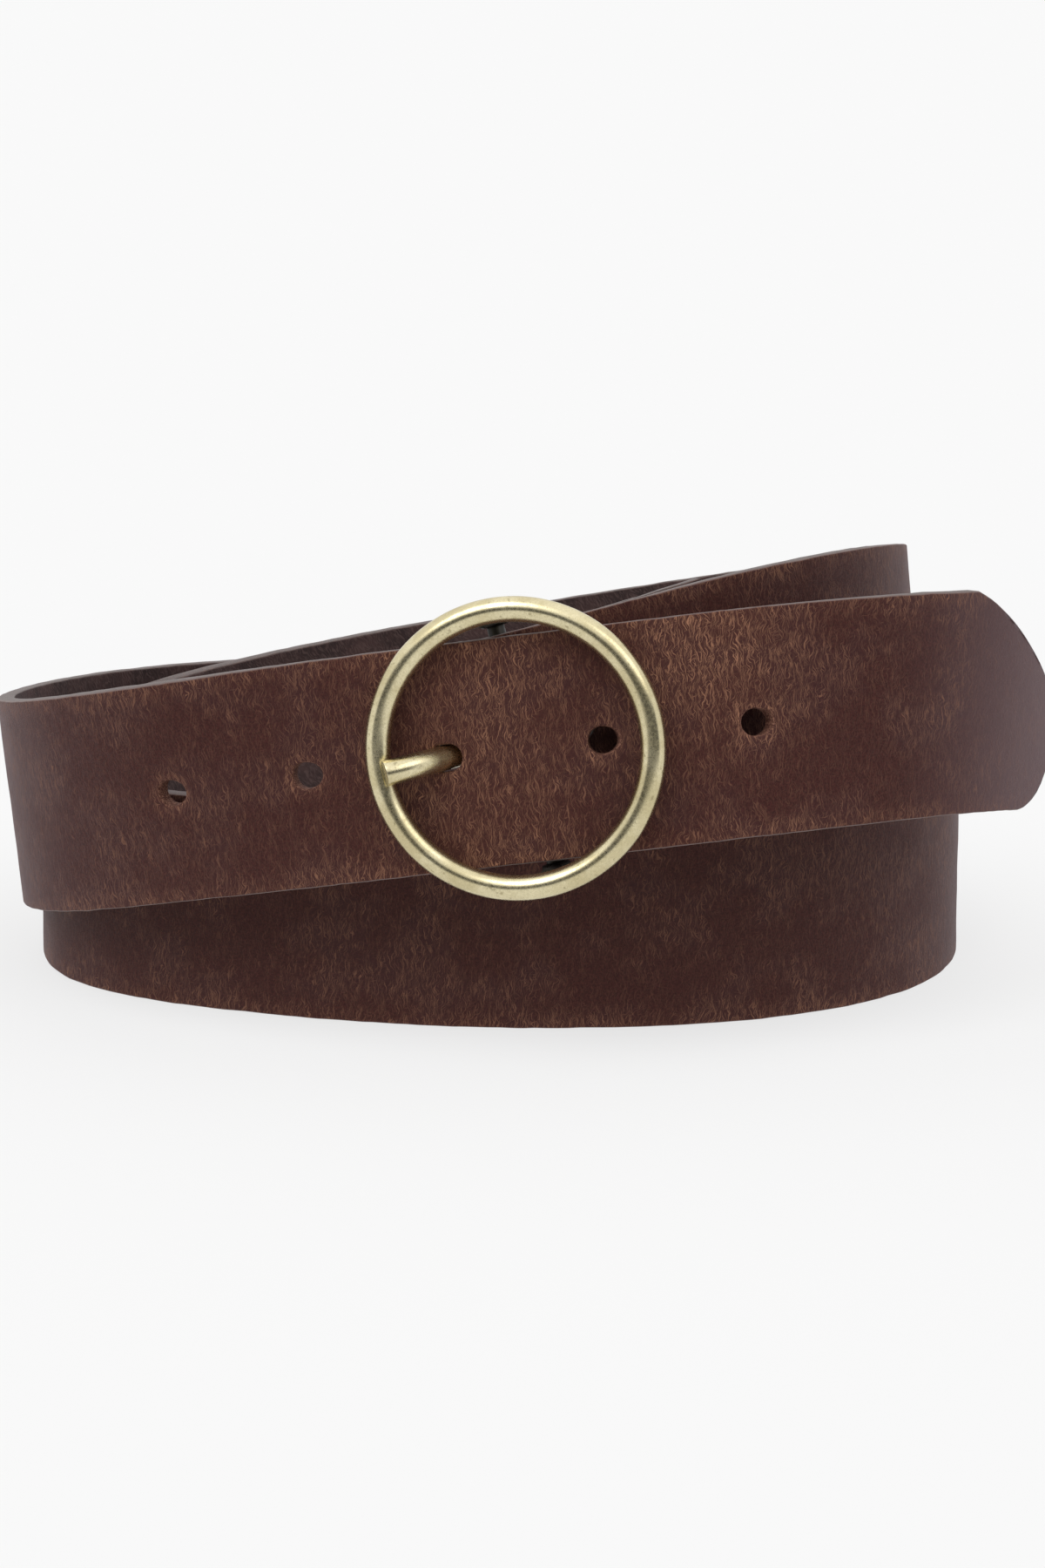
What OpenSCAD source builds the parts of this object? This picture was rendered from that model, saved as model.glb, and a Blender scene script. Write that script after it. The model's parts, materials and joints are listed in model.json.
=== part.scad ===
// Leather belt with a round ring buckle, buckled and coiled twice round, standing on its edge.
// X runs along the front of the coil, Y points to the back of it, Z is up.

/* [Strap] */
// Width of the strap, from edge to edge
strap_w = 38; // [37:0.5:38.5]
// Thickness of the leather
strap_t = 3.2; // [2.6:0.1:3.2]
// Length over which the tip's upper corner is cut back
tip_l = 24; // [22:1:26]
// Distance from one adjustment hole to the next
hole_pitch = 25.4; // [24:0.2:25.8]
// Diameter of an adjustment hole
hole_d = 4.6; // [4.4:0.1:5.2]
// Length of the turned-back end behind the buckle bar
flap_l = 38; // [34:1:42]

/* [Buckle] */
// Diameter of the ring, measured to the middle of its wire
ring_d = 46.3; // [46.1:0.2:46.9]
// Diameter of the ring's wire
wire_d = 4.3; // [4:0.1:4.4]
// Diameter of the bar that the strap is folded round
bar_d = 3; // [2.6:0.1:3]
// Distance that the bar stands behind the middle of the ring
bar_setback = 10.9; // [10.8:0.1:11.2]
// Width of the posts that carry the bar
post_w = 5; // [4:0.5:6]
// How far the buckle turns each way in the fold while it is buckled
swivel_range = 1.5; // [0.5:0.5:1.5]

/* [Prong] */
// Diameter of the prong's rod
prong_d = 4.3; // [4.2:0.1:4.3]
// Place of the prong along the bar, above the bar's middle
prong_up = 1.3; // [1:0.1:1.6]
// Steep angle at which the prong passes through the strap
rise_angle = 58; // [56:1:60]
// Angle at which the prong's end lies on the ring
rest_angle = 22; // [20:1:24]
// How far the prong lifts off the ring
prong_range = 4; // [2:0.5:4]

/* [Snap fasteners] */
// Distance of the snaps from the bar
snap_out = 24; // [22:1:26]
// Distance of each snap above or below the middle of the strap
snap_up = 8; // [7.5:0.5:8]
// Diameter of the snap's cap
cap_d = 11; // [9:0.5:11.5]

/* [Hidden] */
$fn = 48;

// ---- the buckle's own frame: X across it, Y behind it, Z along its bar ----
bar_pos = [0.5, 8, 52];
lean_back = -7;
roll = -15.5;
swing = -7.5;
// The fold leaves the bar at this angle, towards the back
fold_turn = 11;
turned_x = [
  cos(swing) * cos(roll),
  sin(swing) * cos(roll),
  -sin(roll)
];
turned_y = [
  cos(swing) * sin(roll) * sin(lean_back) - sin(swing) * cos(lean_back),
  sin(swing) * sin(roll) * sin(lean_back) + cos(swing) * cos(lean_back),
  cos(roll) * sin(lean_back)
];
bar_up = cross(turned_x, turned_y);
fold_x = turned_x * cos(fold_turn) + turned_y * sin(fold_turn);
fold_y = turned_y * cos(fold_turn) - turned_x * sin(fold_turn);

// ---- the strap's route: places of the middle of its width, each with its upward edge direction ----
upright = [0, 0, 1];
half_w = strap_w / 2;
fold_play = 0.15;
fold_r = bar_d / 2 + fold_play + strap_t / 2;
function from_bar(x, y, z) = bar_pos + turned_x * x + turned_y * y + bar_up * z;
function along_fold(s) = [bar_pos - fold_y * fold_r + fold_x * s, bar_up];
function at_buckle(x, y, z) = [from_bar(x, y, z), bar_up];
function on_table(x, y) = [[x, y, half_w], upright];
route = [
  // front layer of the fold, away from the bar to the right and up over the first turn
  along_fold(-20), along_fold(0), along_fold(20),
  [[42, 13.5, 62.5], [-0.06, 0.09, 1]],
  [[64, 35, 63.5], [-0.1, 0.07, 1]],
  [[74, 73, 57.5], [-0.11, 0, 1]],
  // inner back wall, coming down to the left
  [[58, 118, 48.5], [-0.03, -0.03, 1]],
  [[10, 151, 36], upright],
  [[-44, 149, 27], upright],
  [[-80, 117, 23], upright],
  [[-90.3, 80, 20.5], upright],
  // first turn, along the front on the table
  on_table(-84.5, 55), on_table(-67, 39), on_table(-45, 29), on_table(-11, 18.5),
  on_table(35, 20), on_table(71, 42), on_table(85, 85),
  // outer back wall, lifting towards the left
  on_table(68, 133), [[17, 160, 21], upright], [[-43, 156, 24], upright],
  [[-85, 121, 26], [-0.07, 0.05, 1]],
  [[-96, 77, 29], [-0.12, 0, 1]],
  // front of the second turn, over the buckle's bar
  [[-88, 45, 33.5], [-0.08, -0.04, 1]],
  [[-74, 26, 38.5], [-0.09, -0.08, 1]],
  [[-56, 14.5, 43], [-0.1, -0.03, 1]],
  at_buckle(-36, -5.3, 4), at_buckle(-12, -6.7, 1.2), at_buckle(12, -6.7, -2),
  at_buckle(36, -4.2, -5),
  // free end, bending back beside the coil
  [[62, 7, 58.5], [-0.02, 0.05, 1]],
  [[80, 20, 57.5], [-0.02, 0.02, 1]],
  [[92, 37, 54.5], upright],
  [[105.5, 71, 45], upright]
];

// ---- a smooth curve through the route ----
segments = len(route) - 3;
function unit(v) = v / norm(v);
function blend(t) = [
  pow(1 - t, 3),
  3 * pow(t, 3) - 6 * t * t + 4,
  3 * (t + t * t - pow(t, 3)) + 1,
  pow(t, 3)
] / 6;
function slope(t) = [-pow(1 - t, 2), 3 * t * t - 4 * t, 1 + 2 * t - 3 * t * t, t * t] / 2;
function segment(u) = min(floor(u), segments - 1);
function mix(u, weights, which) = let (k = segment(u)) [
  for (axis = [0:2]) weights * [for (i = [0:3]) route[k + i][which][axis]]
];
function middle(u) = mix(u, blend(u - segment(u)), 0);
function heading(u) = unit(mix(u, slope(u - segment(u)), 0));
function edge_up(u) =
  let (h = heading(u), up = mix(u, blend(u - segment(u)), 1)) unit(up - h * (h * up));
function outward(u) = cross(heading(u), edge_up(u));

// ---- lengths along the curve ----
fine = 20;
fine_points = [for (i = [0:segments * fine]) middle(i / fine)];
function run(i) = norm(fine_points[i + 1] - fine_points[i]);
last_fine = segments * fine;
lengths = [for (i = 0, s = 0; i <= last_fine; s = s + (i < last_fine ? run(i) : 0), i = i + 1) s];
length_to_u = [for (i = [0:segments * fine]) [lengths[i], i / fine]];
function u_at(s) = lookup(s, length_to_u);
total = lengths[segments * fine];

// ---- the prong's bent rod, in the buckle's frame: left is towards the ring, front is towards the wearer ----
first_straight = 7.6;
bend_in = 4;
bend_out = 14;
rod_r = prong_d / 2;
steep = [cos(rise_angle), sin(rise_angle)];
after_bend_in = [
  first_straight + bend_in * sin(rise_angle),
  rod_r + bend_in * (1 - cos(rise_angle))
];
// The end of the rod lies on the ring's wire with this gap
rest_gap = 0.05;
rest_normal = [-sin(rest_angle), cos(rest_angle)];
rest_point = [ring_d / 2, bar_setback] + rest_normal * (wire_d / 2 + rod_r + rest_gap);
bend_out_step = bend_out * [sin(rise_angle) - sin(rest_angle), cos(rest_angle) - cos(rise_angle)];
to_rest = rest_point - after_bend_in - bend_out_step;
steep_l = (to_rest * rest_normal) / (steep * rest_normal);
rest_l = norm(rest_point - after_bend_in - steep * steep_l - bend_out_step);
// Each bend is made as two corners: their distance from the ends of the round bend
corner_in = bend_in * tan(rise_angle / 4);
corner_out = bend_out * tan((rise_angle - rest_angle) / 4);
// The rod's lengths from the eye to the end, each with the turn at its far end
rod_runs = [
  [first_straight + corner_in, rise_angle / 2],
  [2 * corner_in, rise_angle / 2],
  [corner_in + steep_l + corner_out, (rest_angle - rise_angle) / 2],
  [2 * corner_out, (rest_angle - rise_angle) / 2],
  [corner_out + rest_l, 0]
];

// ---- where the holes lie ----
// The prong's hole is where the steep part crosses the middle of the strap
hole_depth = 6.4;
hole_centre = after_bend_in + steep * ((hole_depth - after_bend_in[1]) / steep[1]);
// The part of the route that passes over the bar
over_bar = [segments - 9, segments - 3];
bar_span = [for (i = [over_bar[0] * fine:over_bar[1] * fine])
  [(fine_points[i] - bar_pos) * turned_x, lengths[i]]];
prong_hole_s = lookup(-hole_centre[0], bar_span);
free_holes = [-2, -1, 1, 2];
// The buckle's pull has drawn the prong this far to the left of where its hole was punched
pull = 1.1;

// ---- stations of the swept strap: place, heading, upward edge, and widths below and above the middle ----
steps = 9;
fold_steps = 16;
tip_steps = 14;
flap_u = u_at(flap_l);
flap_steps = 12;
flap_stations = [for (i = [flap_steps:-1:1]) let (u = flap_u * i / flap_steps)
  [middle(u) - outward(u) * 2 * fold_r, -heading(u), edge_up(u), half_w, half_w]];
fold_stations = [for (i = [0:fold_steps - 1]) let (a = 90 + 180 * i / fold_steps)
  [
    bar_pos + (fold_x * cos(a) + fold_y * sin(a)) * fold_r,
    fold_y * cos(a) - fold_x * sin(a),
    bar_up,
    half_w,
    half_w
  ]];
body_end = u_at(total - tip_l);
body_steps = floor(body_end * steps);
body_stations = [for (i = [0:body_steps]) let (u = body_end * i / body_steps)
  [middle(u), heading(u), edge_up(u), half_w, half_w]];
// The tip's upper corner is cut nearly straight, and its lower corner is a short full round
upper_bend = 0.9;
upper_fullness = 1;
lower_corner_l = 14;
lower_bend = 2;
lower_fullness = 0.35;
tip_turn = 75;
// Width left on one side of the middle at a distance d from the end, beside a corner of length l
function corner_w(d, l, bend, fullness) = half_w * pow(1 - pow(1 - min(d / l, 1), bend), fullness);
tip_stations = [for (i = [1:tip_steps])
  let (d = tip_l * (1 - sin(tip_turn * i / tip_steps)), u = u_at(total - d)) [
    middle(u),
    heading(u),
    edge_up(u),
    corner_w(d, lower_corner_l, lower_bend, lower_fullness),
    corner_w(d, tip_l, upper_bend, upper_fullness)
  ]];
stations = concat(flap_stations, fold_stations, body_stations, tip_stations);

function corners(st) =
  let (n = cross(st[1], st[2]) * strap_t / 2, low = st[2] * st[3], high = st[2] * st[4])
  [st[0] - n - low, st[0] + n - low, st[0] + n + high, st[0] - n + high];

// ---- the coil is moved so that its origin is the middle of its footprint, on the table ----
swept = [for (st = stations) each corners(st)];
swept_x = [for (p = swept) p[0]];
swept_y = [for (p = swept) p[1]];
// The ring's front is the part's front: the ring leans, so its top and bottom lie at different depths
ring_front = from_bar(0, -bar_setback, 0)[1] - ring_d / 2 * sqrt(1 - pow(turned_y[1], 2)) - wire_d / 2;
footprint = [
  (min(swept_x) + max(swept_x)) / 2,
  (min(ring_front, min(swept_y)) + max(swept_y)) / 2,
  0
];

module in_place() {
  translate(-footprint) children();
}

module in_buckle() {
  in_place() translate(bar_pos) rotate([lean_back, roll, swing]) children();
}

// Puts children at a place on the strap, with their Z along the given side of the leather
module on_strap(u, back = 0) {
  h = heading(u);
  w = edge_up(u);
  n = outward(u);
  p = middle(u) - n * back;
  multmatrix([
    [h[0], w[0], n[0], p[0]],
    [h[1], w[1], n[1], p[1]],
    [h[2], w[2], n[2], p[2]],
    [0, 0, 0, 1]
  ]) children();
}

module rod(length, r) {
  rotate([0, 90, 0]) cylinder(r = r, h = length);
}

// Outline of a slot with round ends, centred on the origin and long in X
module slot_outline(length, width) {
  square([length - width, width], center = true);
  for (side = [-1, 1]) translate([side * (length - width) / 2, 0]) circle(d = width);
}

// Removes the slanted passage of the prong, drawn out by as much as the prong and the buckle turn
module prong_passage() {
  play = 0.35;
  reach = 5;
  swept_l = norm(hole_centre) * (2 * swivel_range + prong_range) * PI / 180;
  middle_turn = prong_range / 2;
  passage_w = prong_d + 2 * play;
  rotate([0, 0, middle_turn]) translate([-hole_centre[0], -hole_centre[1], prong_up])
    rotate([0, 0, rise_angle]) rotate([0, 90, 0]) rotate([0, 0, 90])
      linear_extrude(height = 2 * reach, center = true) slot_outline(passage_w + swept_l, passage_w);
}

// Removes the slot in the fold that the prong's eye sits in
module fold_slot() {
  slot_w = prong_d + 2;
  slot_r = slot_w / 2;
  slot_left = 8;
  slot_right = 9;
  rotate([0, 0, fold_turn]) translate([0, 0, prong_up]) rotate([90, 0, 0]) {
    translate([-slot_left, -slot_r, -slot_left]) cube([slot_left + slot_right, slot_w, 2 * slot_left]);
    translate([slot_right, 0, -slot_left]) cylinder(r = slot_r, h = 2 * slot_left);
  }
}

module strap() {
  n = len(stations);
  sides = [for (i = [0:n - 2], k = [0:3]) each let (a = 4 * i + k, b = 4 * i + (k + 1) % 4)
    [[a, b, a + 4], [b, b + 4, a + 4]]];
  first_end = [[0, 3, 2], [0, 2, 1]];
  last = 4 * (n - 1);
  last_end = [[last, last + 1, last + 2], [last, last + 2, last + 3]];
  color([0.33, 0.2, 0.17]) difference() {
    in_place() polyhedron(points = swept, faces = concat(sides, first_end, last_end));
    in_place() {
      for (k = free_holes)
        on_strap(u_at(prong_hole_s + pull + k * hole_pitch)) cylinder(d = hole_d, h = 2 * strap_t, center = true);
      for (side = [-1, 1])
        on_strap(u_at(snap_out), fold_r) translate([0, side * snap_up, 0])
          cylinder(r = barrel_r + snap_hole_play, h = 4 * fold_r, center = true);
    }
    in_buckle() prong_passage();
    in_buckle() fold_slot();
  }
}

// ---- buckle ----
post_over = 1.2;
post_top = ring_d / 2 + post_over;
post_in = 20.5;
module post(side) {
  mirror([0, 0, side < 0 ? 1 : 0]) translate([0, 0, post_in]) {
    cylinder(d = post_w, h = post_top - post_in);
    translate([-post_w / 2, -bar_setback, 0]) cube([post_w, bar_setback, post_top - post_in]);
  }
}

module buckle_ring() {
  color([0.72, 0.64, 0.42]) in_buckle() difference() {
    union() {
      translate([0, -bar_setback, 0]) rotate([90, 0, 0])
        rotate_extrude($fn = 96) translate([ring_d / 2, 0]) circle(d = wire_d);
      post(1);
      post(-1);
    }
    cylinder(d = bar_d, h = 3 * ring_d, center = true);
  }
}

module centre_bar() {
  color([0.12, 0.12, 0.12]) in_buckle() cylinder(d = bar_d, h = 2 * post_top, center = true);
}

// The prong's rod from one of its lengths onwards, with a knuckle a little thicker than the rod at each turn
knuckle = 0.05;
module rod_from(i) {
  rod(rod_runs[i][0], rod_r);
  if (i < len(rod_runs) - 1) translate([rod_runs[i][0], 0, 0]) {
    rotate([0, 90, 0]) sphere(r = rod_r + knuckle);
    rotate([0, 0, rod_runs[i][1]]) rod_from(i + 1);
  }
}

module prong() {
  eye_r = 4.2;
  eye_w = prong_d + 0.4;
  eye_play = 0.1;
  color([0.72, 0.64, 0.42]) in_buckle() translate([0, 0, prong_up]) rotate([0, 0, 180]) difference() {
    union() {
      translate([0, 0, -eye_w / 2]) cylinder(r = eye_r, h = eye_w);
      translate([0, rod_r, 0]) rod_from(0);
    }
    cylinder(d = bar_d + eye_play, h = 3 * prong_d, center = true);
  }
}

// ---- snap fasteners: cap and socket on the front layer, stud and post on the flap ----
barrel_r = 1.6;
snap_hole_play = 0.1;
gap = 2 * fold_r - strap_t;
socket_h = 1.7;
stud_base = 0.7;
stud_r = 2.1;
stud_play = 0.1;
// The stud reaches this far into the socket's recess
stud_in = 1.1;
recess_h = 1.3;
module at_snap(side) {
  in_place() on_strap(u_at(snap_out), fold_r) translate([0, side * snap_up, 0]) children();
}

module snap_cap(side) {
  dome_h = 1.3;
  ball_r = (pow(cap_d / 2, 2) + dome_h * dome_h) / (2 * dome_h);
  face = gap / 2 + strap_t;
  color([0.1, 0.1, 0.1]) at_snap(side) {
    translate([0, 0, face]) intersection() {
      translate([0, 0, dome_h - ball_r]) sphere(r = ball_r, $fn = 96);
      cylinder(d = cap_d, h = dome_h);
    }
    translate([0, 0, face - strap_t]) cylinder(r = barrel_r, h = strap_t);
  }
}

module snap_socket(side) {
  color([0.55, 0.52, 0.45]) at_snap(side) translate([0, 0, gap / 2 - socket_h]) difference() {
    cylinder(d = cap_d - 1, h = socket_h);
    translate([0, 0, -recess_h]) cylinder(r = stud_r + stud_play, h = 2 * recess_h);
  }
}

module snap_stud(side) {
  color([0.55, 0.52, 0.45]) at_snap(side) translate([0, 0, -gap / 2]) {
    cylinder(d = cap_d - 2, h = stud_base);
    cylinder(r = stud_r, h = gap - socket_h + stud_in);
  }
}

module snap_post(side) {
  flange_h = 0.8;
  color([0.1, 0.1, 0.1]) at_snap(side) translate([0, 0, -gap / 2 - strap_t]) {
    translate([0, 0, -flange_h]) cylinder(d = cap_d - 2, h = flange_h);
    cylinder(r = barrel_r, h = strap_t);
  }
}

strap();
buckle_ring();
centre_bar();
prong();
snap_cap(1);  // upper_snap_cap
snap_socket(1);  // upper_snap_socket
snap_stud(1);  // upper_snap_stud
snap_post(1);  // upper_snap_post
snap_cap(-1);  // lower_snap_cap
snap_socket(-1);  // lower_snap_socket
snap_stud(-1);  // lower_snap_stud
snap_post(-1);  // lower_snap_post
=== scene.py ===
import json
from bisect import bisect_left
from math import ceil, cos, hypot, pi, radians, sin

import bpy
from mathutils import Matrix, Vector, noise


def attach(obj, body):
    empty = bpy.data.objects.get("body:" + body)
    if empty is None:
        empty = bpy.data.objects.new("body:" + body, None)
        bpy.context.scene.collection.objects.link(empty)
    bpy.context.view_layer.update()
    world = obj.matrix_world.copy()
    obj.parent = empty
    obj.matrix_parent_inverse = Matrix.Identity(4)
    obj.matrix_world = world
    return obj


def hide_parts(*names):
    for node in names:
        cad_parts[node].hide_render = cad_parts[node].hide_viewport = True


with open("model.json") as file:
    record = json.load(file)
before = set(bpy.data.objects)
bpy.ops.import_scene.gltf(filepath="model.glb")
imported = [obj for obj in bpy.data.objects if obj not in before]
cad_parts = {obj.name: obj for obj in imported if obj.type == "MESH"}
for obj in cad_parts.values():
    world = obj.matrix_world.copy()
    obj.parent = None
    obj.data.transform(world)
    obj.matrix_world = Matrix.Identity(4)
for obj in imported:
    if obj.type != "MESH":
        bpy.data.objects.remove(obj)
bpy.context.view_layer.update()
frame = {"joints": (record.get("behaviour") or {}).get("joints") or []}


# ---------------------------------------------------------------- camera
# The belt is looked at from the front and a little above, through a long lens.
# The aim lies just in front of the buckle's bar and a little below its middle.
mm = 0.001
bar = Vector(frame["joints"][0]["pos_m"])
aim = bar + Vector((-0.5, -8.0, -5.2)) * mm
look_down = radians(11.3)
camera_away = 678 * mm
camera_data = bpy.data.cameras.new("camera")
camera_data.sensor_width = 36
camera_data.lens = 93.5
camera_data.clip_end = 200
camera = bpy.data.objects.new("camera", camera_data)
bpy.context.scene.collection.objects.link(camera)
camera.location = aim + Vector((0, -cos(look_down), sin(look_down))) * camera_away
camera.rotation_euler = (pi / 2 - look_down, 0, 0)
bpy.context.scene.camera = camera


# ---------------------------------------------------------------- strap
# One length of thick brown waxed leather, split to 3.2 mm and cut to 38 mm, with raw edges.
# It is folded round the buckle's bar, punched every 25 mm, and coiled twice round on its edge.
strap_w = 38 * mm
strap_t = 3.2 * mm
half_w = strap_w / 2
tip_l = 28 * mm
lower_corner_l = 14 * mm
flap_l = 38 * mm
hole_pitch = 25.4 * mm
hole_r = 2.3 * mm
prong_hole_at = 963.5 * mm
pull = 1.1 * mm
ring_d = 46.3 * mm
wire_d = 4.3 * mm
bar_d = 3 * mm
bar_setback = 10.9 * mm

# The buckle's own directions: across it, to the back of it, and up along its bar
lean_back = radians(-7)
roll = radians(-15.5)
swing = radians(-7.5)
fold_turn = radians(11)
buckle_turn = (Matrix.Rotation(swing, 3, "Z") @ Matrix.Rotation(roll, 3, "Y")
               @ Matrix.Rotation(lean_back, 3, "X"))
turned_x, turned_y, bar_up = buckle_turn.col
fold_x = turned_x * cos(fold_turn) + turned_y * sin(fold_turn)
fold_y = turned_y * cos(fold_turn) - turned_x * sin(fold_turn)
fold_r = bar_d / 2 + 0.15 * mm + strap_t / 2
upright = Vector((0, 0, 1))
coil_origin = bar - Vector((0.5, 8, 52)) * mm


def along_fold(s):
    return bar - fold_y * fold_r + fold_x * s * mm, bar_up


def at_buckle(x, y, z):
    return bar + (turned_x * x + turned_y * y + bar_up * z) * mm, bar_up


def in_air(x, y, z, *up):
    return coil_origin + Vector((x, y, z)) * mm, Vector(up) if up else upright


def on_table(x, y):
    return coil_origin + Vector((x, y, half_w / mm)) * mm, upright


# Places of the middle of the strap's width, each with the direction of its upward edge
route = [
    # front layer of the fold, away from the bar to the right and up over the first turn
    along_fold(-20), along_fold(0), along_fold(20),
    in_air(42, 13.5, 62.5, -0.06, 0.09, 1),
    in_air(64, 35, 63.5, -0.1, 0.07, 1),
    in_air(74, 73, 57.5, -0.11, 0, 1),
    # inner back wall, coming down to the left
    in_air(58, 118, 48.5, -0.03, -0.03, 1),
    in_air(10, 151, 36), in_air(-44, 149, 27), in_air(-80, 117, 23), in_air(-90.3, 80, 20.5),
    # first turn, along the front on the table
    on_table(-84.5, 55), on_table(-67, 39), on_table(-45, 29), on_table(-11, 18.5),
    on_table(35, 20), on_table(71, 42), on_table(85, 85),
    # outer back wall, lifting towards the left
    on_table(68, 133), in_air(17, 160, 21), in_air(-43, 156, 24),
    in_air(-85, 121, 26, -0.07, 0.05, 1),
    in_air(-96, 77, 29, -0.12, 0, 1),
    # front of the second turn, over the buckle's bar
    in_air(-88, 45, 33.5, -0.08, -0.04, 1),
    in_air(-74, 26, 38.5, -0.09, -0.08, 1),
    in_air(-56, 14.5, 43, -0.1, -0.03, 1),
    at_buckle(-36, -5.3, 4), at_buckle(-12, -6.7, 1.2), at_buckle(12, -6.7, -2),
    at_buckle(36, -4.2, -5),
    # free end, bending back beside the coil
    in_air(62, 7, 58.5, -0.02, 0.05, 1),
    in_air(80, 20, 57.5, -0.02, 0.02, 1),
    in_air(92, 37, 54.5), in_air(105.5, 71, 45),
]
segments = len(route) - 3


def weighed(u, weights, which):
    k = min(int(u), segments - 1)
    return sum((route[k + i][which] * w for i, w in enumerate(weights)), Vector((0, 0, 0)))


def blend_of(t):
    return ((1 - t) ** 3 / 6, (3 * t ** 3 - 6 * t * t + 4) / 6,
            (3 * (t + t * t - t ** 3) + 1) / 6, t ** 3 / 6)


def slope_of(t):
    return -(1 - t) ** 2 / 2, (3 * t * t - 4 * t) / 2, (1 + 2 * t - 3 * t * t) / 2, t * t / 2


def coil_frame(u):
    t = u - min(int(u), segments - 1)
    heading = weighed(u, slope_of(t), 0).normalized()
    up = weighed(u, blend_of(t), 1)
    up = (up - heading * heading.dot(up)).normalized()
    return weighed(u, blend_of(t), 0), heading.cross(up), up


fine = 60
coil_points = [coil_frame(i / fine)[0] for i in range(segments * fine + 1)]
coil_lengths = [0.0]
for a, b in zip(coil_points, coil_points[1:]):
    coil_lengths.append(coil_lengths[-1] + (b - a).length)
strap_end = coil_lengths[-1]
fold_l = pi * fold_r
frames_at = {}


def strap_frame(s):
    """Middle, grain side and upward edge of the strap at length s from the bar."""
    key = round(s, 7)
    if key not in frames_at:
        length = s if s >= 0 else max(-fold_l - s, 0)
        i = min(max(bisect_left(coil_lengths, length), 1), len(coil_lengths) - 1)
        part = (length - coil_lengths[i - 1]) / (coil_lengths[i] - coil_lengths[i - 1])
        middle, grain, up = coil_frame((i - 1 + min(part, 1)) / fine)
        if -fold_l < s < 0:
            a = 1.5 * pi + s / fold_r
            grain = fold_x * cos(a) + fold_y * sin(a)
            middle, up = bar + grain * fold_r, bar_up
        elif s <= -fold_l:
            middle, grain = middle - grain * 2 * fold_r, -grain
        frames_at[key] = middle, grain, up
    return frames_at[key]


# The leather is laid flat first. Openings: place along and across it, half length and half width
cell = 0.575 * mm
snap_hole_r = 1.7 * mm
snap_out = 24 * mm
snap_up = 8 * mm
free_holes = [(prong_hole_at + pull + k * hole_pitch, 0, hole_r, hole_r) for k in (-2, -1, 1, 2)]
prong_hole = (prong_hole_at + 0.2 * mm, 0, 2.9 * mm, 2.4 * mm)
fold_slot = (-fold_l / 2, 2 * cell, 17 * mm, 5 * cell)
snap_holes = [(s, side * snap_up, snap_hole_r, snap_hole_r)
              for s in (snap_out, -fold_l - snap_out) for side in (-1, 1)]
punched = free_holes + [prong_hole]
openings = punched + [fold_slot] + snap_holes

tip_angles = (*range(6, 72, 6), 71, 75)
needed = {-fold_l - flap_l, -fold_l, 0, strap_end - tip_l}
for s, h, long, half in openings:
    step, count = (cell, 8) if half > snap_hole_r else (half / 2, 4)
    needed |= {s + side * (long - half + step * i) for side in (-1, 1) for i in range(count + 1)}
needed |= {strap_end - tip_l * (1 - sin(radians(a))) for a in tip_angles}
needed = sorted(set(round(s, 7) for s in needed))
longest_cell = 2 * mm
length_lines = []
for a, b in zip(needed, needed[1:]):
    parts = ceil((b - a) / longest_cell - 0.001)
    length_lines += [a + (b - a) * i / parts for i in range(parts)]
length_lines.append(needed[-1])
half_lines = [cell * i for i in range(1, 9)]
half_lines += [x * mm for x in (6.3, 7.15, 8, 8.85, 9.7, 11.4, 12.9, 14.4, 15.8, 17, 18, 18.6, 19)]
width_lines = [-h for h in reversed(half_lines)] + [0] + half_lines


def flat_from_opening(s, h, opening):
    """Distance from an opening in the square pattern, and the way from its nearest end or side."""
    out = abs(s - opening[0]) - (opening[2] - opening[3])
    end = max(out, 0) * (1 if s > opening[0] else -1)
    return max(abs(end), abs(h - opening[1])), end, h - opening[1]


def rounded_opening(s, h):
    for opening in openings:
        q, end, side = flat_from_opening(s, h, opening)
        half = opening[3]
        if 0 < q < 2 * half:
            circle = q / hypot(end, side)
            k = circle + (1 - circle) * max(0, (q - half) / half)
            return s - end + end * k, opening[1] + side * k
    return s, h


# The tip's upper corner is cut nearly straight, and its lower corner is a short full round
upper_corner = (tip_l, 1.15, 1)
lower_corner = (lower_corner_l, 2, 0.35)
tip_rim = 2 * mm


def side_width(s, length, bend, fullness):
    """Width left on one side of the middle at length s, beside a corner cut over a length."""
    x = 1 - min((strap_end - s) / length, 1)
    return half_w * (1 - x ** bend) ** fullness


def rounded_tip(s, h):
    high = side_width(s, *upper_corner)
    low = -side_width(s, *lower_corner)
    if h > half_w - tip_rim:
        return high - half_w + h
    if h < tip_rim - half_w:
        return low + half_w + h
    part = (h + half_w - tip_rim) / (2 * (half_w - tip_rim))
    return low + tip_rim + part * (high - low - 2 * tip_rim)


def deselect():
    bpy.ops.object.select_all(action="DESELECT")


def pick(obj):
    deselect()
    obj.select_set(True)
    bpy.context.view_layer.objects.active = obj
    return obj


def finish_modifiers(obj):
    pick(obj)
    for m in list(obj.modifiers):
        bpy.ops.object.modifier_apply(modifier=m.name)


deselect()
bpy.ops.mesh.primitive_grid_add(x_subdivisions=len(length_lines) - 1,
                                y_subdivisions=len(width_lines) - 1, size=2)
strap = bpy.context.object
strap.name = "strap_leather"
for v in strap.data.vertices:
    i = round((v.co.x + 1) / 2 * (len(length_lines) - 1))
    j = round((v.co.y + 1) / 2 * (len(width_lines) - 1))
    v.co = (length_lines[i], width_lines[j], 0)

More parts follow.
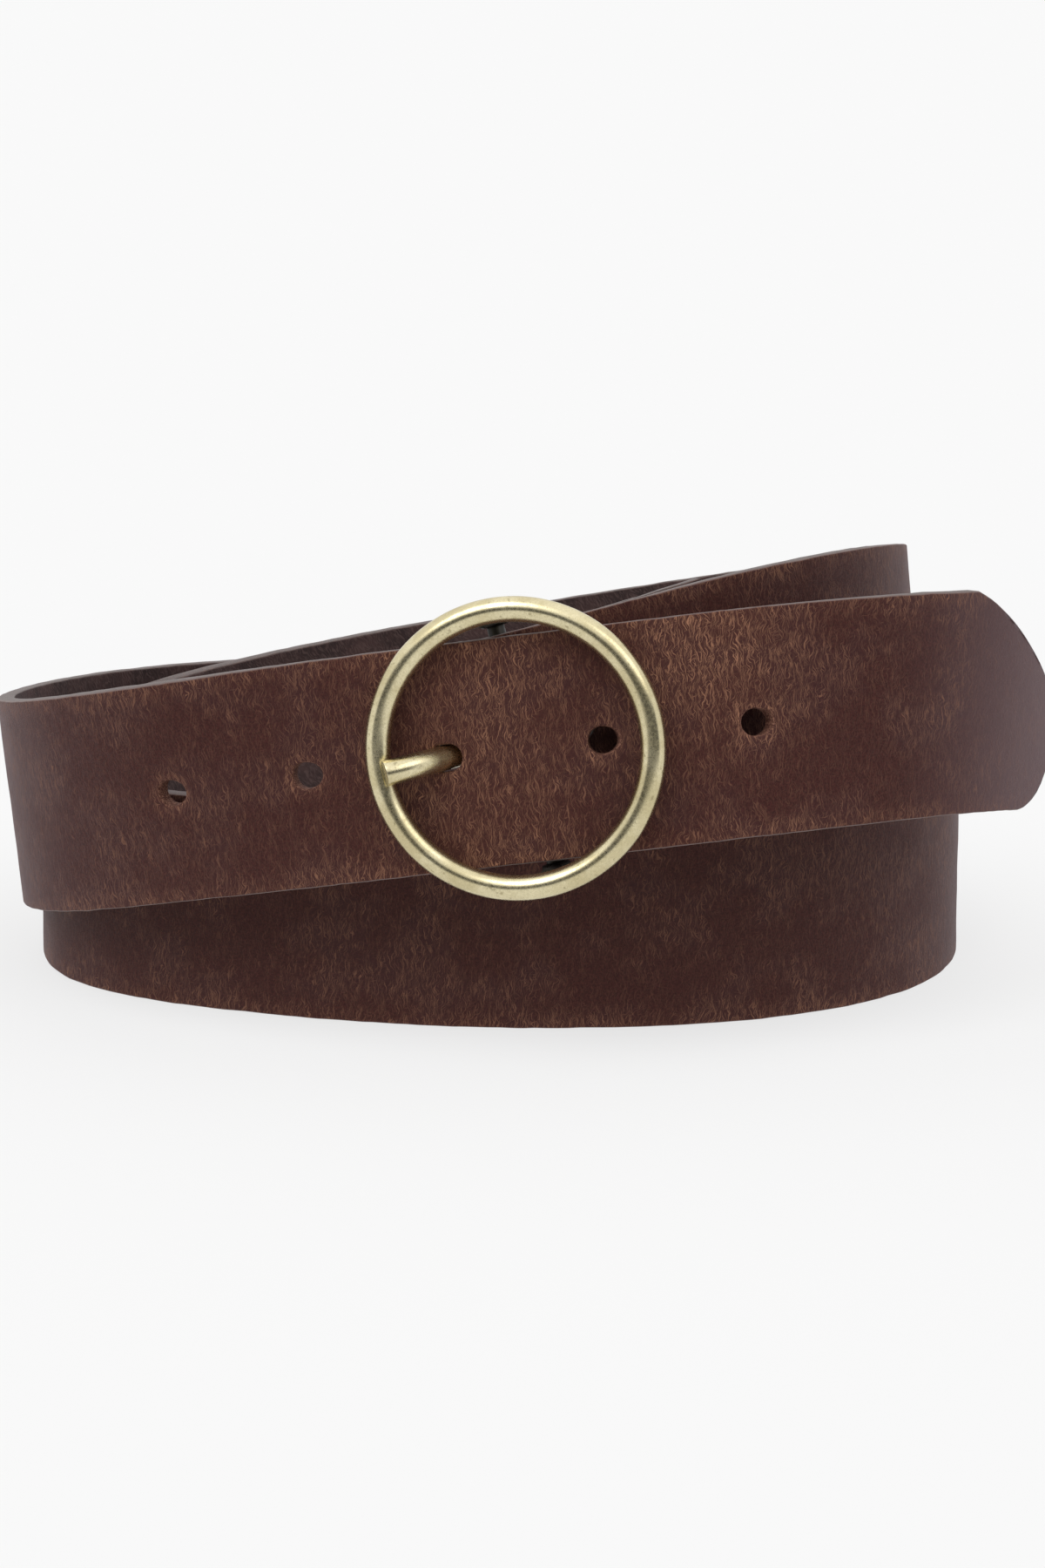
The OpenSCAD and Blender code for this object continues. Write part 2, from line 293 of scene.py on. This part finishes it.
# Punch out the openings: the faces inside them go, and the lines round them become round
for p in strap.data.polygons:
    p.select = any(flat_from_opening(p.center.x, p.center.y, o)[0] < o[3] - 0.01 * mm
                   for o in openings)
for e in strap.data.edges:
    e.select = False
for v in strap.data.vertices:
    v.select = False
bpy.ops.object.mode_set(mode="EDIT")
bpy.ops.mesh.select_mode(type="FACE")
bpy.ops.mesh.delete(type="FACE")
bpy.ops.object.mode_set(mode="OBJECT")
for v in strap.data.vertices:
    s, h = rounded_opening(v.co.x, v.co.y)
    v.co = (s, rounded_tip(s, h), 0)

solid = strap.modifiers.new("thickness", "SOLIDIFY")
solid.thickness = strap_t
solid.offset = 0
edge_break = strap.modifiers.new("rubbed_edges", "BEVEL")
edge_break.width = 0.35 * mm
edge_break.segments = 3
edge_break.limit_method = "ANGLE"
edge_break.use_clamp_overlap = False
finish_modifiers(strap)

# Grain side, flesh side and cut edges are told apart while the leather is still flat
GRAIN, FLESH, EDGE, HOLE_WALL = range(4)
lies_flat = 0.8
wall_reach = 3.5 * mm
for p in strap.data.polygons:
    p.material_index = EDGE
    if abs(p.normal.z) > lies_flat:
        p.material_index = GRAIN if p.normal.z > 0 else FLESH
    elif min(hypot(p.center.x - o[0], p.center.y) for o in punched) < wall_reach:
        p.material_index = HOLE_WALL


def smooth(x):
    x = min(max(x, 0), 1)
    return x * x * (3 - 2 * x)


rim_reach = 2.6 * mm
rim_dish = 0.22 * mm
mouth_reach = 4.9 * mm
mouth_draw = 0.9 * mm
edge_reach = 3 * mm
first_hole = free_holes[-1][0]

strap.data.attributes.new("flat", "FLOAT_VECTOR", "POINT")
strap.data.attributes.new("worn", "FLOAT", "POINT")
strap.data.attributes.new("painted_tip_sheen", "FLOAT", "POINT")
flat_map = strap.data.attributes["flat"]
worn = strap.data.attributes["worn"]
painted_tip_sheen = strap.data.attributes["painted_tip_sheen"]
for v in strap.data.vertices:
    s, h, t = v.co
    flat_map.data[v.index].vector = (s, h, t)
    hole_gap = min(hypot(s - o[0], h) for o in punched) - hole_r
    near_hole = smooth(1 - hole_gap / rim_reach)
    near_edge = smooth((abs(h) - half_w + 4 * mm) / (4 * mm))
    passed_ring = smooth(1 - abs(s - first_hole + 7 * mm) / (22 * mm))
    passed_ring *= smooth((h + 14 * mm) / (26 * mm))
    in_ring = smooth(1 - abs(s - prong_hole_at - 4 * mm) / (30 * mm))
    worn.data[v.index].value = min(1, 0.5 * near_hole + 0.35 * near_edge + 0.75 * passed_ring
                                   + 0.55 * in_ring)
    # painted sheen: the last 48 mm towards the free end are marked to be drawn paler and greyer,
    # standing in for the grazing light the tip catches
    painted_tip_sheen.data[v.index].value = smooth((s - strap_end + 48 * mm) / (40 * mm))
    # the punch has dished the rims, and the leather is slightly uneven
    if t > 0:
        t -= rim_dish * near_hole
    t += 0.10 * mm * noise.noise(Vector((s / (9 * mm), h / (7 * mm), 1)))
    t += 0.025 * mm * noise.noise(Vector((s / (1.2 * mm), h / (2 * mm), 5)))
    if abs(h) > half_w - edge_reach:
        edge_seed = 3 if h > 0 else 8
        h += 0.10 * mm * noise.noise(Vector((s / (5 * mm), edge_seed, 0)))
        h += 0.06 * mm * noise.noise(Vector((s / (1.1 * mm), edge_seed, t / mm)))
    # use has drawn each hole's mouth open away from the buckle
    for o in free_holes:
        if hypot(s - o[0], h) < mouth_reach and s > o[0]:
            away = smooth(1 - (hypot(s - o[0], h) - hole_r) / rim_reach)
            s += mouth_draw * away * (0.5 + t / strap_t) * min((s - o[0]) / hole_r, 1)
    middle, grain, up = strap_frame(s)
    v.co = middle + up * h + grain * t
for p in strap.data.polygons:
    p.use_smooth = True


class Finish:
    """A material's nodes, made one after the other."""

    def __init__(self, name):
        self.material = bpy.data.materials.new(name)
        self.material.use_nodes = True
        self.nodes = self.material.node_tree.nodes
        self.links = self.material.node_tree.links
        self.shader = self.nodes["Principled BSDF"]

    def add(self, kind, inputs=(), **settings):
        node = self.nodes.new("ShaderNode" + kind)
        for key, value in settings.items():
            setattr(node, key, value)
        for name, value in dict(inputs).items():
            if isinstance(value, bpy.types.NodeSocket):
                self.links.new(value, node.inputs[name])
            else:
                node.inputs[name].default_value = value
        return node

    def sums(self, operation, a, b=0.0, c=0.0):
        return self.add("Math", {0: a, 1: b, 2: c}, operation=operation).outputs[0]

    def span(self, value, low, high, to_low=0.0, to_high=1.0, smooth_ends=True):
        kind = "SMOOTHSTEP" if smooth_ends else "LINEAR"
        return self.add("MapRange", {0: value, 1: low, 2: high, 3: to_low, 4: to_high},
                        interpolation_type=kind).outputs[0]

    def mix(self, factor, a, b, blend="MIX"):
        return self.add("Mix", {0: factor, 6: a, 7: b}, data_type="RGBA",
                        blend_type=blend).outputs[2]

    def noise(self, place, scale, detail=2.0, roughness=0.5, distortion=0.0):
        return self.add("TexNoise", {"Vector": place, "Scale": scale, "Detail": detail,
                                     "Roughness": roughness, "Distortion": distortion})

    def set(self, **inputs):
        for key, value in inputs.items():
            socket = self.shader.inputs[key.replace("_", " ")]
            if isinstance(value, bpy.types.NodeSocket):
                self.links.new(value, socket)
            else:
                socket.default_value = value

    def bump(self, height, strength, distance, over=None):
        inputs = {"Height": height, "Strength": strength, "Distance": distance}
        if over is not None:
            inputs["Normal"] = over
        return self.add("Bump", inputs).outputs["Normal"]


def flat_place(finish):
    """Place on the flat leather in millimetres."""
    flat = finish.add("Attribute", attribute_name="flat").outputs["Vector"]
    return finish.add("VectorMath", {0: flat, "Scale": 1 / mm}, operation="SCALE").outputs[0]


def askew(finish, flat):
    """The same place, drawn a little aside as fibres are."""
    drift = finish.noise(flat, 0.35, 2.0).outputs["Color"]
    drift = finish.add("VectorMath", {0: drift, 1: (0.5, 0.5, 0.5)},
                       operation="SUBTRACT").outputs[0]
    return finish.add("VectorMath", {0: drift, 1: (2.4, 2.4, 0.0), 2: flat},
                      operation="MULTIPLY_ADD").outputs[0]


def fibres(finish, place, lean, thin, long, low, high, seed):
    """Short raised fibres lying across the strap, with a lean, a width and a length."""
    turned = finish.add("VectorRotate", {"Vector": place, "Angle": lean},
                        rotation_type="Z_AXIS").outputs[0]
    drawn = finish.add("VectorMath", {0: turned, 1: (1 / thin, 1 / long, 0.8), 2: (seed,) * 3},
                       operation="MULTIPLY_ADD").outputs[0]
    return finish.span(finish.noise(drawn, 1.0, 1.5, 0.55, 0.35).outputs[0], low, high)


def grain_leather():
    f = Finish("brown_waxed_grain")
    flat = flat_place(f)
    place = askew(f, flat)
    worn_away = f.add("Attribute", attribute_name="worn").outputs["Fac"]
    patches = f.noise(flat, 0.07, 3.0, 0.55).outputs[0]
    clumps = f.noise(flat, 0.45, 3.0, 0.6).outputs[0]
    upright_fibres = fibres(f, place, 0.14, 0.13, 2.8, 0.565, 0.66, 0.0)
    left_fibres = fibres(f, place, 0.50, 0.13, 1.8, 0.60, 0.69, 7.3)
    right_fibres = fibres(f, place, -0.22, 0.12, 2.5, 0.58, 0.67, 15.1)
    cross_fibres = fibres(f, place, 1.25, 0.16, 1.4, 0.62, 0.71, 21.7)
    lying = f.sums("MAXIMUM", upright_fibres, right_fibres)
    crossing = f.sums("MAXIMUM", left_fibres, cross_fibres)
    raised = f.sums("MAXIMUM", lying, f.sums("MULTIPLY", crossing, 0.75))
    uneven = f.sums("ADD", f.sums("MULTIPLY", patches, 0.7), f.sums("MULTIPLY", clumps, 0.3))
    amount = f.span(uneven, 0.40, 0.64, 0.10, 0.42)
    amount = f.sums("ADD", amount, f.sums("MULTIPLY", worn_away, 0.75))
    shown = f.sums("MULTIPLY", raised, amount)
    speckle = f.noise(flat, 2.6, 3.0, 0.65).outputs[0]
    base = f.mix(f.span(speckle, 0.35, 0.66),
                 (0.034, 0.0092, 0.0078, 1), (0.064, 0.0185, 0.0150, 1))
    base = f.mix(f.span(patches, 0.42, 0.62, 0.0, 0.5), base, (0.047, 0.0180, 0.0180, 1))
    base = f.mix(f.sums("MULTIPLY", worn_away, 0.4), base, (0.090, 0.036, 0.026, 1))
    # painted sheen: towards the free end the base colour turns pale greyish mauve and the fibres
    # fade, standing in for the light the tip catches as it turns away
    painted_sheen_amount = f.add("Attribute", attribute_name="painted_tip_sheen").outputs["Fac"]
    base = f.mix(f.sums("MULTIPLY", painted_sheen_amount, 0.85), base, (0.120, 0.076, 0.080, 1))
    shown = f.sums("MULTIPLY", shown, f.span(painted_sheen_amount, 0.0, 1.0, 1.0, 0.45))
    colour = f.mix(f.sums("MINIMUM", shown, 1.0), base, (0.340, 0.165, 0.098, 1))
    f.set(Base_Color=colour, Roughness=f.span(shown, 0.0, 1.0, 0.52, 0.70))
    f.set(Specular_IOR_Level=0.14, Sheen_Weight=0.10, Sheen_Roughness=0.35)
    f.set(Sheen_Tint=(0.72, 0.60, 0.72, 1))
    waves = f.bump(clumps, 0.35, 0.25 * mm)
    pores = f.bump(speckle, 0.35, 0.10 * mm, waves)
    f.set(Normal=f.bump(raised, 0.55, 0.09 * mm, pores))
    return f.material


def flesh_leather():
    f = Finish("raw_flesh_side")
    flat = flat_place(f)
    place = askew(f, flat)
    nap = fibres(f, place, 0.5, 0.3, 1.2, 0.42, 0.70, 3.0)
    patches = f.noise(flat, 0.12, 4.0, 0.6).outputs[0]
    colour = f.mix(f.span(patches, 0.35, 0.65),
                   (0.030, 0.0175, 0.0170, 1), (0.058, 0.031, 0.029, 1))
    colour = f.mix(f.sums("MULTIPLY", nap, 0.45), colour, (0.120, 0.075, 0.068, 1))
    f.set(Base_Color=colour, Roughness=0.82)
    f.set(Specular_IOR_Level=0.2, Sheen_Weight=0.08, Sheen_Roughness=0.5)
    f.set(Sheen_Tint=(0.72, 0.60, 0.64, 1))
    f.set(Normal=f.bump(nap, 0.6, 0.12 * mm))
    return f.material


def edge_leather():
    f = Finish("raw_cut_edge")
    flat = flat_place(f)
    layers = f.add("VectorMath", {0: flat, 1: (1.2, 1.2, 5.0)}, operation="MULTIPLY").outputs[0]
    layers = f.noise(layers, 1.0, 3.0, 0.6).outputs[0]
    depth = f.add("SeparateXYZ", {0: flat}).outputs[2]
    skin = f.span(depth, 1.0, 1.5)
    colour = f.mix(f.span(layers, 0.35, 0.65), (0.040, 0.024, 0.022, 1), (0.105, 0.062, 0.052, 1))
    colour = f.mix(f.sums("MULTIPLY", skin, 0.6), colour, (0.17, 0.105, 0.092, 1))
    f.set(Base_Color=colour, Roughness=0.8)
    f.set(Specular_IOR_Level=0.35, Sheen_Weight=0.25, Sheen_Roughness=0.5)
    f.set(Normal=f.bump(layers, 0.6, 0.15 * mm))
    return f.material


def hole_wall():
    f = Finish("punched_wall")
    flat = flat_place(f)
    torn = f.noise(flat, 3.2, 3.0, 0.65).outputs[0]
    colour = f.mix(f.span(torn, 0.42, 0.62), (0.070, 0.026, 0.018, 1), (0.230, 0.110, 0.075, 1))
    f.set(Base_Color=colour, Roughness=0.85, Specular_IOR_Level=0.2)
    f.set(Normal=f.bump(torn, 0.8, 0.2 * mm))
    return f.material


for finish in (grain_leather(), flesh_leather(), edge_leather(), hole_wall()):
    strap.data.materials.append(finish)
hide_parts("strap")
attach(strap, "strap")


# ---------------------------------------------------------------- ring
# The ring is bent from 4.3 mm brass wire and brazed shut, then tumbled and toned.
# Two dark lugs behind its top and bottom carry the bar.
post_w = 5 * mm
post_in = 20.5 * mm
post_top = ring_d / 2 + 1.2 * mm


def into_buckle(obj):
    """Turns a piece made round the origin into the buckle's place, and settles it in its mesh."""
    obj.data.transform(Matrix.Translation(bar) @ buckle_turn.to_4x4())
    obj.data.update()
    return obj


def join_solids(base, others):
    for other in others:
        union = base.modifiers.new("brazed", "BOOLEAN")
        union.object = other
        union.operation = "UNION"
        union.solver = "EXACT"
        finish_modifiers(base)
        bpy.data.objects.remove(other)


def bevelled(obj, width, segments=3, angle=30):
    m = obj.modifiers.new("broken_edges", "BEVEL")
    m.width = width
    m.segments = segments
    m.limit_method = "ANGLE"
    m.angle_limit = radians(angle)
    finish_modifiers(obj)


def smooth_by_angle(obj, angle=35):
    pick(obj)
    bpy.ops.object.shade_smooth_by_angle(angle=radians(angle))


def toned_brass():
    f = Finish("toned_brass")
    place = f.add("TexCoord").outputs["Object"]
    fine_grain = f.noise(place, 2600.0, 3.0, 0.65).outputs[0]
    cloud = f.noise(place, 140.0, 4.0, 0.6).outputs[0]
    pits = f.span(f.noise(place, 900.0, 2.0, 0.6).outputs[0], 0.62, 0.74)
    colour = f.mix(f.span(cloud, 0.35, 0.65), (0.60, 0.52, 0.31, 1), (0.76, 0.68, 0.45, 1))
    colour = f.mix(f.span(fine_grain, 0.3, 0.7, 0.0, 0.35), colour, (0.42, 0.36, 0.20, 1))
    colour = f.mix(f.sums("MULTIPLY", pits, 0.5), colour, (0.22, 0.18, 0.09, 1))
    f.set(Base_Color=colour, Metallic=1.0, Roughness=f.span(fine_grain, 0.3, 0.7, 0.20, 0.31))
    grain = f.bump(fine_grain, 0.10, 0.02 * mm)
    f.set(Normal=f.bump(cloud, 0.05, 0.2 * mm, grain))
    return f.material


def blackened():
    f = Finish("blackened_steel")
    place = f.add("TexCoord").outputs["Object"]
    fine_grain = f.noise(place, 1500.0, 3.0, 0.6).outputs[0]
    f.set(Base_Color=f.mix(fine_grain, (0.012, 0.011, 0.010, 1), (0.05, 0.045, 0.038, 1)))
    f.set(Metallic=0.7, Roughness=f.span(fine_grain, 0.3, 0.7, 0.32, 0.5))
    f.set(Normal=f.bump(fine_grain, 0.2, 0.03 * mm))
    return f.material


brass = toned_brass()
black = blackened()
deselect()
bpy.ops.mesh.primitive_torus_add(major_radius=ring_d / 2, minor_radius=wire_d / 2,
                                 major_segments=192, minor_segments=40,
                                 location=(0, -bar_setback, 0), rotation=(pi / 2, 0, 0))
ring = bpy.context.object
ring.name = "buckle_ring_brass"
bpy.ops.object.transform_apply(location=True, rotation=True, scale=True)
into_buckle(ring)
smooth_by_angle(ring, 60)
ring.data.materials.append(brass)
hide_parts("buckle_ring")
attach(ring, "buckle")

for name, side in (("upper", 1), ("lower", -1)):
    deselect()
    bpy.ops.mesh.primitive_cylinder_add(vertices=48, radius=post_w / 2, depth=post_top - post_in,
                                        location=(0, 0, side * (post_top + post_in) / 2))
    lug = bpy.context.object
    bpy.ops.object.transform_apply(location=True, rotation=False, scale=False)
    bevelled(lug, 0.5 * mm)
    deselect()
    bpy.ops.mesh.primitive_cylinder_add(vertices=32, radius=post_w * 0.36,
                                        depth=bar_setback - 0.8 * mm,
                                        location=(0, -(bar_setback - 0.8 * mm) / 2,
                                                  side * (post_top + post_in) / 2),
                                        rotation=(pi / 2, 0, 0))
    arm = bpy.context.object
    bpy.ops.object.transform_apply(location=True, rotation=True, scale=False)
    join_solids(lug, [arm])
    deselect()
    bpy.ops.mesh.primitive_cylinder_add(vertices=48, radius=bar_d / 2 + 0.02 * mm, depth=60 * mm)
    bore = bpy.context.object
    cut = lug.modifiers.new("bore", "BOOLEAN")
    cut.object = bore
    cut.operation = "DIFFERENCE"
    cut.solver = "EXACT"
    finish_modifiers(lug)
    bpy.data.objects.remove(bore)
    lug.name = name + "_lug"
    into_buckle(lug)
    smooth_by_angle(lug)
    lug.data.materials.clear()
    lug.data.materials.append(black)
    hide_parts("buckle_ring")
    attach(lug, "buckle")


# ---------------------------------------------------------------- bar
# The bar that the strap folds round is black-finished steel rod, pressed through both lugs.
# Its ends are turned to a small chamfer.
deselect()
bpy.ops.mesh.primitive_cylinder_add(vertices=64, radius=bar_d / 2, depth=2 * post_top)
centre_bar = bpy.context.object
centre_bar.name = "centre_bar_rod"
bevelled(centre_bar, 0.35 * mm)
into_buckle(centre_bar)
smooth_by_angle(centre_bar)
centre_bar.data.materials.append(black)
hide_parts("centre_bar")
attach(centre_bar, "buckle")


# ---------------------------------------------------------------- prong
# The prong is a 4.3 mm brass rod, curled round the bar, bent up steeply through the strap,
# then bent back to lie on the ring, with its end sawn square.
prong_up = 1.3 * mm
rod_r = 2.15 * mm
rise = radians(58)
rest = radians(22)
first_straight = 7.6 * mm
bend_in = 4 * mm
bend_out = 14 * mm
rest_gap = 0.05 * mm
rod_start = 2.2 * mm


def bend_step(radius, a, b):
    """Way gone in a bend that turns from angle a to angle b, to the left for b above a."""
    return Vector((sin(b) - sin(a), cos(a) - cos(b))) * radius * (1 if b > a else -1)


steep = Vector((cos(rise), sin(rise)))
flat_way = Vector((cos(rest), sin(rest)))
rest_normal = Vector((-sin(rest), cos(rest)))
after_in = Vector((first_straight, rod_r)) + bend_step(bend_in, 0, rise)
rest_point = Vector((ring_d / 2, bar_setback)) + rest_normal * (wire_d / 2 + rod_r + rest_gap)
out_step = bend_step(bend_out, rise, rest)
steep_l = (rest_point - after_in - out_step).dot(rest_normal) / steep.dot(rest_normal)
before_out = after_in + steep * steep_l
centre_line = [Vector((rod_start, rod_r)), Vector((first_straight, rod_r))]
bend_parts = 12
centre_line += [Vector((first_straight, rod_r)) + bend_step(bend_in, 0, rise * i / bend_parts)
                for i in range(1, bend_parts + 1)]
centre_line += [before_out]
centre_line += [before_out + bend_step(bend_out, rise, rise + (rest - rise) * i / bend_parts)
                for i in range(1, bend_parts + 1)]
sawn_off = 3 * mm
centre_line += [rest_point + flat_way * sawn_off]

rod_curve = bpy.data.curves.new("prong_rod", "CURVE")
rod_curve.dimensions = "3D"
rod_curve.bevel_depth = rod_r
rod_curve.bevel_resolution = 9
rod_curve.use_fill_caps = True
spline = rod_curve.splines.new("POLY")
spline.points.add(len(centre_line) - 1)
for point, place in zip(spline.points, centre_line):
    point.co = (-place.x, -place.y, prong_up, 1)
prong = bpy.data.objects.new("prong_rod", rod_curve)
bpy.context.scene.collection.objects.link(prong)
pick(prong)
bpy.ops.object.convert(target="MESH")
prong = bpy.context.object

# saw the end off square
bpy.ops.object.mode_set(mode="EDIT")
bpy.ops.mesh.select_all(action="SELECT")
bpy.ops.mesh.remove_doubles(threshold=0.005 * mm)
bpy.ops.mesh.normals_make_consistent(inside=False)
bpy.ops.mesh.bisect(plane_co=(-rest_point.x, -rest_point.y, prong_up),
                    plane_no=(-cos(rest), -sin(rest), 0),
                    use_fill=True, clear_outer=True)
bpy.ops.object.mode_set(mode="OBJECT")
bevelled(prong, 0.25 * mm, 3, 40)

# the eye, curled round the bar
deselect()
bpy.ops.mesh.primitive_torus_add(major_radius=3.1 * mm, minor_radius=1.42 * mm,
                                 major_segments=64, minor_segments=24,
                                 location=(0, 0, prong_up))
eye = bpy.context.object
eye.scale = (1, 1, 1.6)
bpy.ops.object.transform_apply(location=True, rotation=True, scale=True)
join_solids(prong, [eye])
prong.name = "prong_brass"
into_buckle(prong)
smooth_by_angle(prong, 40)
prong.data.materials.clear()
prong.data.materials.append(brass)
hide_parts("prong")
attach(prong, "prong")


# ---------------------------------------------------------------- snap fasteners
# Two snaps behind the buckle close the fold: cap and socket on its front layer, stud and eyelet
# on the turned-back end. They are turned and pressed from brass; caps and eyelets are black.
def turned(name, profile):
    """A closed solid turned from (radius, height) steps in millimetres, drawn out ring by ring."""
    deselect()
    bpy.ops.mesh.primitive_circle_add(vertices=48, radius=profile[0][0] * mm, fill_type="NGON",
                                      location=(0, 0, 0))
    bpy.ops.object.mode_set(mode="EDIT")
    bpy.ops.mesh.select_mode(type="FACE")
    bpy.ops.mesh.select_all(action="SELECT")
    bpy.ops.transform.translate(value=(0, 0, profile[0][1] * mm))
    for (r0, z0), (r1, z1) in zip(profile, profile[1:]):
        bpy.ops.mesh.extrude_region_move(TRANSFORM_OT_translate={"value": (0, 0, (z1 - z0) * mm)})
        bpy.ops.transform.resize(value=(r1 / r0, r1 / r0, 1), center_override=(0, 0, z1 * mm))
    bpy.ops.mesh.select_all(action="SELECT")
    bpy.ops.mesh.normals_make_consistent(inside=False)
    bpy.ops.object.mode_set(mode="OBJECT")
    piece = bpy.context.object
    piece.name = name
    return piece


def enamel():
    f = Finish("black_enamel")
    place = f.add("TexCoord").outputs["Object"]
    rub = f.noise(place, 420.0, 3.0, 0.6).outputs[0]
    rubbed = f.span(rub, 0.45, 0.75)
    f.set(Base_Color=f.mix(rubbed, (0.008, 0.008, 0.007, 1), (0.03, 0.026, 0.02, 1)))
    f.set(Roughness=f.span(rub, 0.3, 0.7, 0.22, 0.38), Normal=f.bump(rub, 0.1, 0.03 * mm))
    return f.material


def stamped_brass():
    f = Finish("stamped_brass")
    place = f.add("TexCoord").outputs["Object"]
    scratches = f.noise(place, 1800.0, 3.0, 0.6).outputs[0]
    f.set(Base_Color=f.mix(scratches, (0.34, 0.27, 0.15, 1), (0.55, 0.46, 0.28, 1)), Metallic=1.0)
    f.set(Roughness=f.span(scratches, 0.3, 0.7, 0.25, 0.42))
    f.set(Normal=f.bump(scratches, 0.12, 0.02 * mm))
    return f.material


snap_r = 5.5
dome_h = 1.3
layer_gap = (2 * fold_r - strap_t) / mm
inner = layer_gap / 2
outer = inner + strap_t / mm
dome = [(snap_r * cos(a), outer + 0.12 + (dome_h - 0.12) * sin(a))
        for a in (radians(x) for x in (8, 20, 33, 46, 60, 75))]
# Each snap piece's outline as (radius, height) steps, from one end of its axis to the other
snap_shapes = {
    "cap": [(1.6, inner), (1.6, outer), (snap_r - 0.15, outer)] + dome,
    "socket": [(2.2, 1.3), (2.2, 0.15), (2.5, -0.05), (4.2, -0.05), (4.9, 0.3), (5.0, 0.6),
               (5.0, inner - 0.25), (4.7, inner)],
    "stud": [(4.3, -inner), (4.5, -inner + 0.12), (4.5, -inner + 0.55), (4.3, -inner + 0.7),
             (1.75, -inner + 0.7), (1.65, 0.0), (2.05, 0.45), (2.1, 0.7), (1.9, 0.95),
             (1.4, 1.05)],
    "post": [(0.8, -outer + 0.9), (0.95, -outer - 0.5), (1.4, -outer - 0.8), (3.7, -outer - 0.75),
             (4.4, -outer - 0.45), (4.5, -outer - 0.2), (4.35, -outer), (1.6, -outer),
             (1.6, -inner)],
}
snap_metals = {"cap": enamel(), "post": enamel(),
               "socket": stamped_brass(), "stud": stamped_brass()}
fold_middle, fold_grain, fold_up = strap_frame(snap_out)
fold_heading = fold_up.cross(fold_grain)
for kind, shape in snap_shapes.items():
    pattern = turned(kind, shape)
    for name, side in (("upper", 1), ("lower", -1)):
        piece = bpy.data.objects.new(name + "_snap_" + kind + "_turned", pattern.data.copy())
        bpy.context.scene.collection.objects.link(piece)
        at = fold_middle - fold_grain * fold_r + fold_up * side * snap_up
        turn = Matrix((fold_heading, fold_up, fold_grain)).transposed().to_4x4()
        piece.data.transform(Matrix.Translation(at) @ turn)
        smooth_by_angle(piece, 40)
        piece.data.materials.append(snap_metals[kind])
        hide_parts(name + "_snap_" + kind)
        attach(piece, "strap")
    bpy.data.objects.remove(pattern)


# ---------------------------------------------------------------- floor and light
# The belt stands on a plain white sweep in a large soft light. The room is darker in front of
# the belt, so that the ring shows a dark band between two bright ones.
floor_size = 120
deselect()
bpy.ops.mesh.primitive_plane_add(size=floor_size, location=(0, floor_size / 2 - 1.0, 0))
floor = bpy.context.object
floor.name = "floor"
bpy.ops.object.transform_apply(location=True, rotation=False, scale=False)
sweep = Finish("white_sweep")
sweep.set(Base_Color=(0.20, 0.20, 0.20, 1), Roughness=0.9, Specular_IOR_Level=0.0)
sweep.set(Emission_Color=(1, 1, 1, 1), Emission_Strength=0.69)
floor.data.materials.append(sweep.material)


class Room(Finish):
    """The light from all round, as nodes of the world."""

    def __init__(self):
        world = bpy.data.worlds.new("studio")
        world.use_nodes = True
        bpy.context.scene.world = world
        self.nodes, self.links = world.node_tree.nodes, world.node_tree.links
        self.shader = self.nodes["Background"]


room = Room()
way = room.add("SeparateXYZ", {0: room.add("TexCoord").outputs["Generated"]}).outputs
beside = room.span(room.sums("ABSOLUTE", way[0]), 0.72, 0.86)
above = room.span(way[2], 0.30, 0.52)
behind = room.span(way[1], -0.05, 0.15)
open_side = room.sums("MAXIMUM", room.sums("MAXIMUM", beside, above), behind)
top_light = room.span(way[2], 0.2, 1.0, 1.0, 1.25)
room.set(Strength=room.sums("MULTIPLY", room.span(open_side, 0.0, 1.0, 0.07, 0.95), top_light))
room.set(Color=(1.0, 1.0, 1.0, 1))

for name, turn, strength in (("key", (radians(30), radians(-28), 0), 0.75),
                             ("fill", (radians(30), radians(40), 0), 0.3)):
    light = bpy.data.lights.new(name, "SUN")
    light.angle = radians(35)
    light.energy = strength
    lamp = bpy.data.objects.new(name, light)
    bpy.context.scene.collection.objects.link(lamp)
    lamp.rotation_euler = turn
bpy.context.scene.view_settings.view_transform = "Standard"
